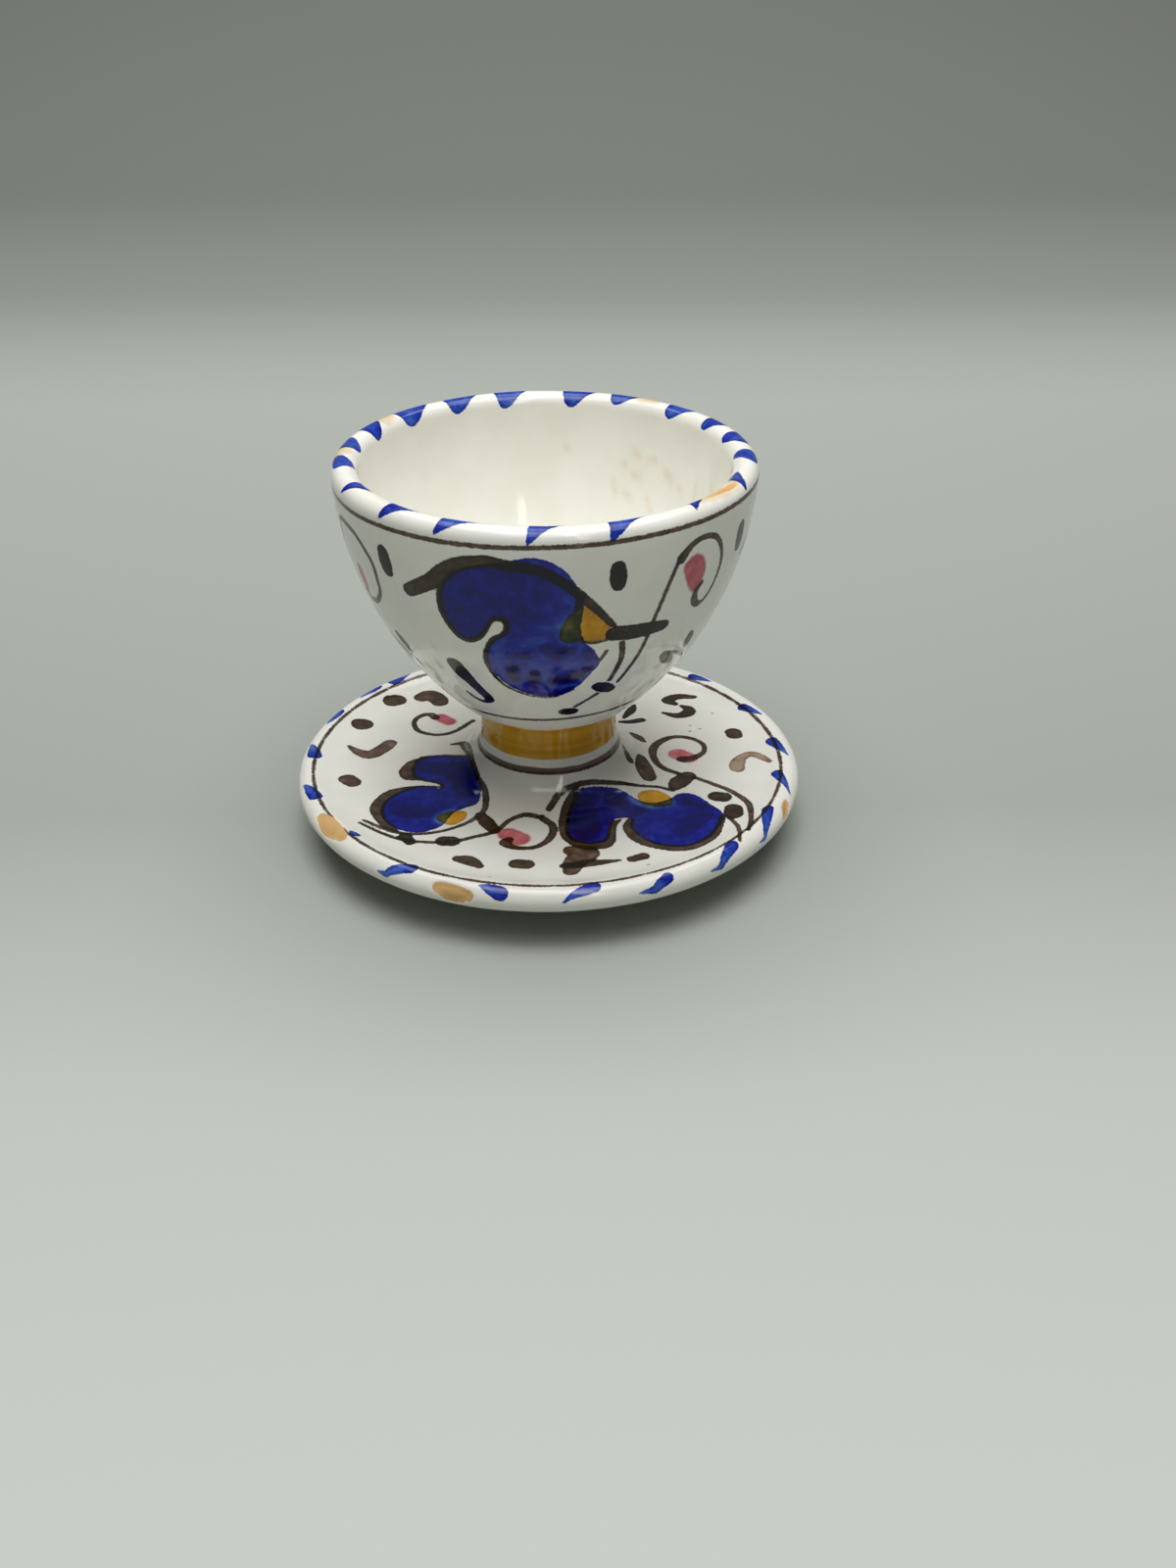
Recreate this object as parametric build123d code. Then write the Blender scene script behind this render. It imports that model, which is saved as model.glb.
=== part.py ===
"""Tin-glazed earthenware egg cup luted to its own saucer: clay pieces, slip joints and coats of glaze."""

import math
import os

from build123d import *

# Coat and bed thicknesses
glaze_thickness = 0.35
slip_thickness = 0.4

# Bowl, measured on the glazed outside and inside
overall_height = 54.2
mouth_radius = 28.0
bowl_curve_radius = 47.5
wall_upright_height = 55.0
lip_thickness = 3.6
bowl_base_height = 19.6
bowl_turn_radius = 1.5
hollow_floor_height = 24.0
hollow_corner_radius = 20.0
hollow_least_flat = 0.5

# Foot, measured on the glazed outside
foot_radius = 9.5
upper_cove_radius = 1.4
lower_cove_radius = 6.5
foot_line_height = 12.0

# Saucer, measured on the glazed outside
saucer_radius = 35.7
saucer_edge_thickness = 3.8
saucer_edge_height = 7.2
saucer_well_height = 8.0
saucer_well_blend = 9.0
saucer_lip_slope = 20.0
saucer_underside_slope = 18.0

# Foot ring, bare clay on the bottom, set in from the saucer's edge
saucer_overhang = 12.7
ring_radius = saucer_radius - saucer_overhang
ring_width = 3.0
ring_edge_round = 0.6
ring_root_round = 1.2
recess_depth = 1.6
recess_corner_round = 0.8
dry_ring_height = 0.9

# Heights and radii of the clay under the glaze
clay_base_height = bowl_base_height + glaze_thickness
clay_hollow_height = hollow_floor_height - glaze_thickness
clay_well_height = saucer_well_height - glaze_thickness
clay_foot_radius = foot_radius - glaze_thickness
clay_foot_top = clay_base_height - slip_thickness
clay_foot_bottom = clay_well_height + slip_thickness

# The bowl wall is one band of constant thickness about this centre, at the height where it stands upright
wall_centre = Vector(mouth_radius - bowl_curve_radius, wall_upright_height)
lip_radius = lip_thickness / 2
lip_drop = wall_upright_height - overall_height + lip_radius
lip_lean = math.asin(lip_drop / (bowl_curve_radius - lip_radius))
clay_lip_radius = lip_radius - glaze_thickness
clay_outside_curve = bowl_curve_radius - glaze_thickness
clay_inside_curve = bowl_curve_radius - lip_thickness + glaze_thickness


def wall_point(curve_radius, height):
    """Point of a wall curve at a height."""
    drop = wall_centre.Y - height
    return Vector(wall_centre.X + math.sqrt(curve_radius**2 - drop**2), height)


def lip_point(curve_radius):
    """Point where a wall curve runs into the rounded lip."""
    return wall_centre + Vector(math.cos(lip_lean), -math.sin(lip_lean)) * curve_radius


def rounded(face, corner, radius):
    """Face with the corner nearest to a point rounded off."""
    vertex = face.vertices().sort_by_distance(corner)[0]
    return fillet(vertex, radius)


def zone(inner_radius, outer_radius, bottom, top):
    """Rectangle of the half section between two radii and two heights."""
    width = outer_radius - inner_radius
    depth = top - bottom
    return Pos(inner_radius, bottom) * Rectangle(width, depth, align=(Align.MIN, Align.MIN))


def turned(face):
    """Solid turned from a half section about the axis of the cup."""
    return revolve(Plane.XZ * face, Axis.Z)


def cove(corner, radius, rise):
    """Fillet of slip in a corner, hollowed by a round tool; rise is 1 upwards or -1 downwards."""
    middle = Vector(corner.X + radius, corner.Y + rise * radius)
    bottom = min(corner.Y, middle.Y)
    block = zone(corner.X, middle.X, bottom, bottom + radius)
    return block - Pos(middle) * Circle(radius)


def bowl_section():
    base_corner = wall_point(clay_outside_curve, clay_base_height)
    hollow_corner = wall_point(clay_inside_curve, clay_hollow_height)
    outside_lip = lip_point(clay_outside_curve)
    inside_lip = lip_point(clay_inside_curve)
    lip_top = (outside_lip + inside_lip) / 2 + Vector(math.sin(lip_lean), math.cos(lip_lean)) * clay_lip_radius
    outside_middle = wall_point(clay_outside_curve, (base_corner.Y + outside_lip.Y) / 2)
    inside_middle = wall_point(clay_inside_curve, (hollow_corner.Y + inside_lip.Y) / 2)
    face = make_face(
        [
            Line((0, clay_base_height), base_corner),
            ThreePointArc(base_corner, outside_middle, outside_lip),
            ThreePointArc(outside_lip, lip_top, inside_lip),
            ThreePointArc(inside_lip, inside_middle, hollow_corner),
            Line(hollow_corner, (0, clay_hollow_height)),
            Line((0, clay_hollow_height), (0, clay_base_height)),
        ]
    )
    face = rounded(face, base_corner, bowl_turn_radius - glaze_thickness)

    # The round of the hollow goes no further in than the least flat on the floor allows
    floor_drop = wall_centre.Y - clay_hollow_height
    flat_reach = hollow_least_flat - wall_centre.X
    spare = clay_inside_curve**2 - flat_reach**2 - floor_drop**2
    widest_round = spare / (2 * (clay_inside_curve - floor_drop))
    return rounded(face, hollow_corner, min(hollow_corner_radius + glaze_thickness, widest_round))


def foot_section():
    return zone(0, clay_foot_radius, clay_foot_bottom, clay_foot_top)


def upper_slip_section():
    corner = Vector(clay_foot_radius, clay_base_height)
    bed = zone(0, clay_foot_radius, clay_foot_top, clay_base_height)
    return bed + cove(corner, upper_cove_radius + glaze_thickness, -1)


def lower_slip_section():
    corner = Vector(clay_foot_radius, clay_well_height)
    bed = zone(0, clay_foot_radius, clay_well_height, clay_foot_bottom)
    return bed + cove(corner, lower_cove_radius + glaze_thickness, 1)


def saucer_section():
    edge_radius = saucer_edge_thickness / 2 - glaze_thickness
    edge_centre = Vector(saucer_radius - saucer_edge_thickness / 2, saucer_edge_height)
    lip_slope = math.radians(saucer_lip_slope)
    under_slope = math.radians(saucer_underside_slope)
    edge_top = edge_centre + Vector(-math.sin(lip_slope), math.cos(lip_slope)) * edge_radius
    edge_outside = edge_centre + Vector(edge_radius, 0)
    edge_bottom = edge_centre + Vector(math.sin(under_slope), -math.cos(under_slope)) * edge_radius
    rise = Vector(edge_top.X - (edge_top.Y - clay_well_height) / math.tan(lip_slope), clay_well_height)
    root = Vector(ring_radius, edge_bottom.Y - (edge_bottom.X - ring_radius) * math.tan(under_slope))
    ring_outside = Vector(ring_radius, 0)
    ring_inside = Vector(ring_radius - ring_width, 0)
    recess_corner = Vector(ring_inside.X, recess_depth)
    face = make_face(
        [
            Line((0, clay_well_height), rise),
            Line(rise, edge_top),
            ThreePointArc(edge_top, edge_outside, edge_bottom),
            Polyline(edge_bottom, root, ring_outside, ring_inside, recess_corner, (0, recess_depth)),
            Line((0, recess_depth), (0, clay_well_height)),
        ]
    )
    face = rounded(face, rise, saucer_well_blend)
    face = rounded(face, root, ring_root_round)
    face = rounded(face, ring_outside, ring_edge_round)
    face = rounded(face, ring_inside, ring_edge_round)
    return rounded(face, recess_corner, recess_corner_round)


# Half sections of the clay, then the coat that follows them all
bowl = bowl_section()
foot = foot_section()
saucer = saucer_section()
upper_slip = upper_slip_section()
lower_slip = lower_slip_section()
clay = bowl + foot + saucer + upper_slip + lower_slip
coat = offset(clay, glaze_thickness) - clay

# The coat is one skin, parted where the painter's brown lines ring the foot and where the ring stays bare
ring_inner_radius = ring_radius - ring_width
bowl_zone = zone(0, mouth_radius, clay_foot_top, overall_height)
foot_zone = zone(0, saucer_radius, foot_line_height, clay_foot_top)
saucer_zone = zone(0, saucer_radius, dry_ring_height, foot_line_height)
base_zone = zone(0, ring_inner_radius, dry_ring_height, clay_well_height)

sections = {
    "bowl": bowl,
    "foot": foot,
    "saucer": saucer,
    "upper_slip_joint": upper_slip,
    "lower_slip_joint": lower_slip,
    "bowl_glaze": coat & bowl_zone,
    "foot_glaze": coat & foot_zone,
    "saucer_glaze": (coat & saucer_zone) - base_zone,
    "base_glaze": coat & base_zone,
}

os.makedirs("parts", exist_ok=True)
for name, section in sections.items():
    solid = turned(section)
    export_step(solid, f"parts/{name}.step")
    print(name, round(solid.volume, 1), solid.bounding_box().size)
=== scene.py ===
# %% [markdown]
# This lesson rebuilds a small hand-painted egg cup that is fixed to its own saucer.
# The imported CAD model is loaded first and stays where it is, so every new piece is made in its place.
# Blender works in metres, while a potter thinks in millimetres, so one value turns one into the other.

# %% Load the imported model
import math

import bmesh
import bpy
import numpy as np
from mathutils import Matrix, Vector


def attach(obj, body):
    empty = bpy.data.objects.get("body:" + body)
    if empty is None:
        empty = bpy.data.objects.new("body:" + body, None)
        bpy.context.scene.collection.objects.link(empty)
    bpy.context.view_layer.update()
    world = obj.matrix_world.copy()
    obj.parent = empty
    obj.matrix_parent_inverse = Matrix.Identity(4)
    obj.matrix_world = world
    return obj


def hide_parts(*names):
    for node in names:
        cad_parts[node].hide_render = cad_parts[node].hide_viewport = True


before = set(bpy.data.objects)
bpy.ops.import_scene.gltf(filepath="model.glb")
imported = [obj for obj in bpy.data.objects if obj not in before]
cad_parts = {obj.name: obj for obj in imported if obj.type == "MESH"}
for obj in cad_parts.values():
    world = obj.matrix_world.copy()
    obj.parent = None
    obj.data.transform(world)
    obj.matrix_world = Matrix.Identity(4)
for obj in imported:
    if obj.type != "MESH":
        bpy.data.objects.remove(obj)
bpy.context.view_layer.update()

MM = 0.001

# %% [markdown]
# The camera stands where the picture of the cup was taken: a little above it, looking down by 30 degrees.
# Lens and place were worked out from the circles of the rim, the saucer and the foot.
# A camera could also be placed by eye, but then the ellipses of the rims would never quite agree.

# %% Camera
camera_place = (0.0, -213.2 * MM, 128.3 * MM)
camera_dip = 30.21
camera_tilt = math.radians(90 - camera_dip)
camera_turn = math.radians(-1.5)
camera_lens = 39.1
camera_sensor = 36
camera_near = 1 * MM

bpy.ops.object.select_all(action="DESELECT")
bpy.ops.object.camera_add(location=camera_place, rotation=(camera_tilt, 0, camera_turn))
camera = bpy.context.object
camera.data.lens = camera_lens
camera.data.sensor_width = camera_sensor
camera.data.clip_start = camera_near
bpy.context.scene.camera = camera
print("camera lens", camera_lens, "mm")

# %% [markdown]
# The cup is turned work, so each coat of glaze can be drawn as a half section and spun round the axis.
# The section is put together from the arcs and straight runs that the potter's rib leaves.
# The same section, drawn a coat's thickness closer in, gives the side of the glaze that lies on the clay.

# %% Arcs and runs of a half section, in millimetres
coat = 0.35
least_step = 0.01


def arc_point(centre, radius, angle):
    """A point of the section on a circle; the angle is in degrees from the outward direction."""
    turned = math.radians(angle)
    return centre[0] + radius * math.cos(turned), centre[1] + radius * math.sin(turned)


def arc(centre, radius, first, last, spacing):
    """Points of the section on an arc from one angle to another."""
    count = max(2, math.ceil(math.radians(abs(last - first)) * radius / spacing))
    return [arc_point(centre, radius, first + (last - first) * i / count) for i in range(count + 1)]


def run(first, last, spacing):
    """Points of the section on a straight run."""
    count = max(1, math.ceil(math.dist(first, last) / spacing))
    return np.linspace(first, last, count + 1).tolist()


def section_points(parts):
    """Points of all arcs and runs in order, without the doubles where two of them meet."""
    points = []
    for part in parts:
        for point in part:
            if not points or math.dist(points[-1], point) > least_step:
                points.append(point)
    return points


print("coat of glaze:", coat, "mm")

# %% [markdown]
# The bowl is one band of clay bent to an arc, with a rounded lip and a hollow that ends in a small flat.
# Its numbers repeat those of the CAD model, because the new coat has to lie where the CAD coat lies.

# %% Half section of the bowl's coat
wall_centre = (-19.5, 55.0)
outside_curve = 47.15
inside_curve = 44.25
lip_round = 1.45
lip_lean = 3.26
lip_centre = (26.125, 52.4)
hollow_centre = (1.724, 44.0)
hollow_round = 20.35
hollow_start = -27.4
turn_centre = (11.59, 21.1)
turn_round = 1.15
turn_end = -47.48
upper_cove_centre = (10.9, 18.2)
upper_cove = 1.75
bowl_parting = 19.55
painted_inside = 1 / 3


def bowl_section(stand_off, paint_row, plain_row):
    """The bowl's skin from its parting line with the foot, over the lip and down to the hollow's floor."""
    cove = upper_cove - stand_off
    cove_start = 180 - math.degrees(math.asin((bowl_parting - upper_cove_centre[1]) / cove))
    underside = upper_cove_centre[1] + cove
    floor = hollow_centre[1] - hollow_round + stand_off
    inside_split = hollow_start * painted_inside
    return section_points([
        arc(upper_cove_centre, cove, cove_start, 90, plain_row),
        run((upper_cove_centre[0], underside), (turn_centre[0], underside), plain_row),
        arc(turn_centre, turn_round + stand_off, -90, turn_end, paint_row),
        arc(wall_centre, outside_curve + stand_off, turn_end, -lip_lean, paint_row),
        arc(lip_centre, lip_round + stand_off, -lip_lean, 180 - lip_lean, paint_row),
        arc(wall_centre, inside_curve - stand_off, -lip_lean, inside_split, paint_row),
        arc(wall_centre, inside_curve - stand_off, inside_split, hollow_start, plain_row),
        arc(hollow_centre, hollow_round - stand_off, hollow_start, -90, plain_row),
        run((hollow_centre[0], floor), (0, floor), plain_row),
    ])


paint_row = 0.36
plain_row = 1.5
clay_row = 4.0
bowl_skin = bowl_section(coat, paint_row, plain_row)
bowl_clay_side = bowl_section(0, clay_row, clay_row)
bowl_outline = bowl_skin + bowl_clay_side[::-1] + bowl_skin[:1]
print("bowl section:", len(bowl_skin), "points on the skin,", len(bowl_clay_side), "on the clay")

# %% [markdown]
# The saucer's coat starts on the cove below the foot, crosses the well, climbs the lip and turns
# under the edge. Underneath it runs in to the foot ring and stops above the table, where the ring
# was wiped clean.

# %% Half section of the saucer's coat
lower_cove_centre = (16.0, 14.5)
lower_cove = 6.85
saucer_parting = 12.0
blend_centre = (28.918, 16.65)
blend_round = 9.0
lip_slope = 20.0
edge_centre = (33.8, 7.2)
edge_round = 1.55
under_slope = 18.0
root_centre = (24.2, 1.189)
root_round = 1.2
dry_line = 0.9


def saucer_section(stand_off, paint_row, plain_row):
    """The saucer's skin from its parting line with the foot, round the edge and in to the foot ring."""
    cove = lower_cove - stand_off
    cove_start = 180 + math.degrees(math.asin((lower_cove_centre[1] - saucer_parting) / cove))
    well = lower_cove_centre[1] - cove
    blend = blend_round - stand_off
    edge = edge_round + stand_off
    root = root_round - stand_off
    blend_end = arc_point(blend_centre, blend, lip_slope - 90)
    edge_start = arc_point(edge_centre, edge, lip_slope + 90)
    edge_end = arc_point(edge_centre, edge, under_slope - 90)
    root_start = arc_point(root_centre, root, under_slope + 90)
    ring = root_centre[0] - root
    return section_points([
        arc(lower_cove_centre, cove, cove_start, 270, paint_row),
        run((lower_cove_centre[0], well), (blend_centre[0], well), paint_row),
        arc(blend_centre, blend, -90, lip_slope - 90, paint_row),
        run(blend_end, edge_start, paint_row),
        arc(edge_centre, edge, lip_slope + 90, under_slope - 90, paint_row),
        run(edge_end, root_start, plain_row),
        arc(root_centre, root, under_slope + 90, 180, paint_row),
        run((ring, root_centre[1]), (ring, dry_line), paint_row),
    ])


saucer_skin = saucer_section(coat, paint_row, plain_row)
saucer_clay_side = saucer_section(0, clay_row, clay_row)
saucer_outline = saucer_skin + saucer_clay_side[::-1] + saucer_skin[:1]
print("saucer section:", len(saucer_skin), "points on the skin,", len(saucer_clay_side), "on the clay")

# %% [markdown]
# A turned piece starts as one small plane, merged to a point and extruded along the half section.
# Spin then sweeps the line round the axis, as clay goes round on the wheel.
# The first and last rows meet, so doubles are merged before the normals are made to point outwards.
# A line that ran along the axis itself has no faces, so it is deleted as loose.

# %% Spin a half section
full_turn = 2 * math.pi
merge_reach = 1e-6
sharp_corner = math.radians(50)


def spun_piece(name, outline, steps):
    """A closed shell turned from an outline in millimetres."""
    bpy.ops.object.select_all(action="DESELECT")
    start_place = (outline[0][0] * MM, 0, outline[0][1] * MM)
    bpy.ops.mesh.primitive_plane_add(size=MM, location=start_place)
    piece = bpy.context.object
    piece.name = name
    bpy.ops.object.transform_apply(location=True, rotation=True, scale=True)
    bpy.ops.object.mode_set(mode="EDIT")
    bpy.ops.mesh.select_all(action="SELECT")
    bpy.ops.mesh.merge(type="CENTER")
    for here, there in zip(outline, outline[1:]):
        step = ((there[0] - here[0]) * MM, 0, (there[1] - here[1]) * MM)
        bpy.ops.mesh.extrude_region_move(TRANSFORM_OT_translate={"value": step})
    bpy.ops.mesh.select_all(action="SELECT")
    bpy.ops.mesh.spin(steps=steps, angle=full_turn, center=(0, 0, 0), axis=(0, 0, 1))
    bpy.ops.mesh.select_all(action="SELECT")
    bpy.ops.mesh.remove_doubles(threshold=merge_reach)
    bpy.ops.mesh.delete_loose()
    bpy.ops.mesh.select_all(action="SELECT")
    bpy.ops.mesh.normals_make_consistent(inside=False)
    bpy.ops.object.mode_set(mode="OBJECT")
    bpy.ops.object.shade_smooth_by_angle(angle=sharp_corner)
    return piece


bowl_steps = 480
saucer_steps = 620
bowl_coat = spun_piece("bowl_coat", bowl_outline, bowl_steps)
saucer_coat = spun_piece("saucer_coat", saucer_outline, saucer_steps)
for piece in (bowl_coat, saucer_coat):
    print(piece.name, len(piece.data.vertices), "points,", len(piece.data.polygons), "faces")

# %% [markdown]
# The painter worked with a loaded brush on the raw white glaze, so a mark is a line whose width changes.
# An image texture could hold the painting, but here each mark stays a few given points
# that can be moved. Every point of the glaze learns how deep it lies inside the marks of each pigment,
# and how much pigment is there. The bowl is marked in degrees round the wall and millimetres of height,
# the saucer in millimetres from above.

# %% Where a mark lies on the glaze
pigments = ("stain", "cobalt", "manganese", "ochre", "rose", "chip")
visible_wall = outside_curve + coat
visible_lip = lip_round + coat
edge_share = 0.97
saucer_limit = edge_centre[0] + (edge_round + coat) * edge_share
saucer_line = np.array(saucer_skin)
saucer_top = saucer_line[: saucer_line[:, 0].argmax() + 1]


def round_axis(turn, radius, height):
    """Place at a turn round the axis; the turn is 0 in front and grows to the right."""
    angle = np.radians(turn)
    return np.stack([radius * np.sin(angle), -radius * np.cos(angle), height], axis=-1)


def on_wall(turn, height):
    """Place of a mark on the bowl's outside wall."""
    radius = wall_centre[0] + np.sqrt(visible_wall**2 - (wall_centre[1] - height) ** 2)
    return round_axis(turn, radius, height)


def on_inside(turn, height):
    """Place of a mark on the bowl's inside wall."""
    radius = wall_centre[0] + np.sqrt((inside_curve - coat) ** 2 - (wall_centre[1] - height) ** 2)
    return round_axis(turn, radius, height)


def on_lip(turn, roll):
    """Place of a mark on the bowl's lip; roll is 0 outside, 90 on top and 180 inside."""
    rolled = np.radians(roll)
    radius = lip_centre[0] + visible_lip * np.cos(rolled)
    return round_axis(turn, radius, lip_centre[1] + visible_lip * np.sin(rolled))


def on_saucer(across, away):
    """Place of a mark on top of the saucer, with its height read from the half section."""
    radius = np.hypot(across, away)
    shrink = np.minimum(radius, saucer_limit) / radius
    height = np.interp(radius * shrink, saucer_top[:, 0], saucer_top[:, 1])
    return np.stack([across * shrink, away * shrink, height], axis=-1)


print("marks on the saucer reach out to", round(saucer_limit, 2), "mm")

# %% [markdown]
# A chart is the way back: it reads where a point of the glaze lies, in the same numbers that place a mark.
# A filled shape needs it, to tell which points lie inside its outline.

# %% Charts of the wall, the lip and the saucer
def turn_of(points, middle):
    """Turn of some points round the axis, counted so that it doesn't jump near a shape's middle."""
    turn = np.degrees(np.arctan2(points[:, 0], -points[:, 1]))
    return middle + (turn - middle + 180) % 360 - 180


def wall_chart(points, middle):
    """Turn and height on the bowl's wall."""
    return turn_of(points, middle), points[:, 2]


def lip_chart(points, middle):
    """Turn and roll on the bowl's lip."""
    outward = np.hypot(points[:, 0], points[:, 1]) - lip_centre[0]
    return turn_of(points, middle), np.degrees(np.arctan2(points[:, 2] - lip_centre[1], outward)) % 360


def saucer_chart(points, middle):
    """Place on the saucer from above; a shape's middle is not needed there."""
    return points[:, 0], points[:, 1]


charts = {on_wall: wall_chart, on_lip: lip_chart, on_saucer: saucer_chart}
print("charts:", len(charts))

# %% [markdown]
# A few points become a smooth line by a spline that passes through each of them.
# The half width travels along with the place, so a stroke swells and thins as the brush is pressed
# and lifted.

# %% Smooth lines through hand-placed points
line_steps = 24
outline_steps = 10


def smooth_line(points, steps, closed=False):
    """A smooth line through the points, with all their values blended alike."""
    given = np.array(points, float)
    if closed:
        padded = np.vstack([given[-1], given, given[0], given[1]])
    else:
        padded = np.vstack([2 * given[0] - given[1], given, 2 * given[-1] - given[-2]])
    before, here, there, after = padded[:-3], padded[1:-2], padded[2:-1], padded[3:]
    line = []
    for share in np.linspace(0, 1, steps, endpoint=False):
        pull = (there - before) * share
        bend = (2 * before - 5 * here + 4 * there - after) * share**2
        swing = (3 * here - before - 3 * there + after) * share**3
        line.append((2 * here + pull + bend + swing) / 2)
    line = np.stack(line, axis=1).reshape(-1, given.shape[1])
    return line if closed else np.vstack([line, given[-1]])


print("points between two given ones:", line_steps, "on a stroke,", outline_steps, "on an outline")

# %% [markdown]
# A canvas holds the glaze's points and, for each pigment, two numbers at every point.
# The edge number is the distance inside the nearest mark in millimetres, so it crosses zero
# on the mark's outline. The load number says how much pigment was laid down, and grows where two
# strokes cross.

# %% Canvas of a coat
far_outside = -5.0
soft_reach = 0.2
least_cover = 0.02
block_size = 4000


class Canvas:
    """Marks on one coat of glaze."""

    def __init__(self, piece):
        self.mesh = piece.data
        flat = np.zeros(len(self.mesh.vertices) * 3)
        self.mesh.vertices.foreach_get("co", flat)
        self.points = flat.reshape(-1, 3) / MM
        count = len(self.points)
        self.edge = {name: np.full(count, far_outside) for name in pigments}
        self.laid = {name: np.zeros(count) for name in pigments}
        self.cover = {name: np.full(count, least_cover) for name in pigments}

    def near(self, places, reach):
        """Points of the glaze in the box round some places, in blocks."""
        low = places.min(axis=0) - reach
        high = places.max(axis=0) + reach
        chosen = np.flatnonzero(np.all((self.points > low) & (self.points < high), axis=1))
        return np.array_split(chosen, 1 + len(chosen) // block_size)

    def gaps(self, block, places):
        """Distance of each point of a block from each place."""
        squares = [np.subtract.outer(self.points[block, axis], places[:, axis]) ** 2 for axis in range(3)]
        return np.sqrt(sum(squares))

    def add(self, pigment, block, depth, load):
        """Lay a mark over some points that lie so deep inside it."""
        share = np.clip((depth + soft_reach) / (2 * soft_reach), 0, 1)
        self.edge[pigment][block] = np.maximum(self.edge[pigment][block], depth)
        self.laid[pigment][block] += load * share
        self.cover[pigment][block] = np.maximum(self.cover[pigment][block], share)

    def store(self):
        """Keep both numbers of every pigment on the mesh, for its material to read."""
        for name in pigments:
            for word, values in (("edge", self.edge[name]), ("load", self.laid[name] / self.cover[name])):
                layer = self.mesh.attributes.new(f"{name}_{word}", "FLOAT", "POINT")
                layer.data.foreach_set("value", values.astype(np.float32))


bowl_canvas = Canvas(bowl_coat)
saucer_canvas = Canvas(saucer_coat)
print("points to paint:", len(bowl_canvas.points), "and", len(saucer_canvas.points))

# %% [markdown]
# A brush stroke covers every point of the glaze that lies closer to its line than half its width there.
# Its load may change from the first point to the last, as the brush is pressed or runs dry.

# %% Brush strokes
look_around = 1.5
thinnest = 0.03


def stroke(canvas, pigment, surface, points, load, last_load=None, closed=False):
    """A brush stroke through points that each have a half width."""
    line = smooth_line(points, line_steps, closed)
    places = surface(line[:, 0], line[:, 1])
    widths = np.maximum(line[:, 2], thinnest)
    loads = np.linspace(load, load if last_load is None else last_load, len(line))
    for block in canvas.near(places, look_around + widths.max()):
        depth = widths - canvas.gaps(block, places)
        best = depth.argmax(axis=1)
        canvas.add(pigment, block, depth.max(axis=1), loads[best])


print("finest half width of a stroke:", thinnest, "mm")

# %% [markdown]
# A filled shape has a closed outline. A point lies inside it if a level line from there to one side crosses
# the outline an odd number of times. The clay side of the coat lies close below the skin, so only points
# near the skin count. A wash goes over a mark that is already there and deepens or thins it.

# %% Filled shapes and washes
own_side = coat / 2


def depths(canvas, surface, points, reach):
    """How deep the glaze lies inside an outline, block by block, on its own side of the clay alone."""
    line = smooth_line(points, outline_steps, closed=True)
    places = surface(line[:, 0], line[:, 1])
    for block in canvas.near(places, reach):
        across, up = charts[surface](canvas.points[block], line[:, 0].mean())
        inside = np.zeros(len(block), bool)
        for first, second in zip(line, np.roll(line, -1, axis=0)):
            rises = (first[1] > up) != (second[1] > up)
            slant = (second[0] - first[0]) / (second[1] - first[1] or 1)
            inside ^= rises & (across < first[0] + (up - first[1]) * slant)
        lift = np.linalg.norm(canvas.points[block] - surface(across, up), axis=1)
        inside &= lift < own_side
        gap = canvas.gaps(block, places).min(axis=1)
        yield block, np.where(inside, gap, -gap)


def fill(canvas, pigment, surface, points, load):
    """A shape filled up to its outline."""
    for block, depth in depths(canvas, surface, points, look_around):
        canvas.add(pigment, block, depth, load)


def wash(canvas, pigment, surface, points, load, border):
    """Deepen or thin a mark that is already there, with a soft border."""
    for block, depth in depths(canvas, surface, points, border):
        share = np.clip((depth + border) / (2 * border), 0, 1)
        canvas.laid[pigment][block] += load * share * canvas.cover[pigment][block]


print("a filled shape keeps within", own_side, "mm of the skin")

# %% [markdown]
# Round the bowl goes a leaf of two lobes with an ochre tip. Its filled parts are outlines of a few points,
# each a turn in degrees and a height in millimetres. One more outline marks the upper lobe, where the blue
# was laid twice, and one the part of the tip that lies on the blue, where both colours are thinner.

# %% Outlines of the bowl's leaf
bowl_leaf = [
    (-29.5, 43), (-28.8, 45), (-26.5, 47), (-22.5, 48.6), (-17, 49.6), (-10, 50.3), (-5, 50.9),
    (-1.5, 50.8), (2, 50.1), (5.3, 48.7), (8, 46.5), (9.5, 44), (9, 41), (10.5, 38.6), (13.5, 37),
    (15.6, 35.3), (16, 34.3), (13.5, 32.6), (10.5, 30.7), (6, 29.2), (1, 28.6), (-4, 28.8),
    (-9.5, 29.6), (-14.5, 31.1), (-18, 33.5), (-18.8, 35.5), (-17.5, 37.5), (-15, 39), (-12.5, 39.9),
    (-11.3, 41), (-12.5, 42), (-14.5, 41.8), (-16.5, 40.6), (-18.5, 39.3), (-21.5, 38.4), (-24.5, 38.4),
    (-27.5, 39.8), (-29.2, 41.5),
]
bowl_dark_wash = [
    (-33, 40.8), (-31, 46), (-24, 50), (-12, 51), (-4, 49.6), (1.8, 47.4), (2, 44.7), (-1.8, 42),
    (-9, 39.6), (-13.6, 40.4), (-23.8, 36.6), (-31.5, 37.6),
]
bowl_tip = [
    (9.3, 44.2), (12.8, 42.9), (17.4, 40.4), (17.7, 38.9), (14.7, 38.4), (9.5, 38.6), (5.5, 38.5),
    (3.1, 39.4), (3.8, 41.1), (5.8, 42.9),
]
bowl_tip_on_leaf = [
    (3.1, 39.2), (3.8, 41.1), (5.8, 42.9), (8.5, 43.8), (9.9, 42.2), (9.6, 40.1), (8.1, 38.6),
]
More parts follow.
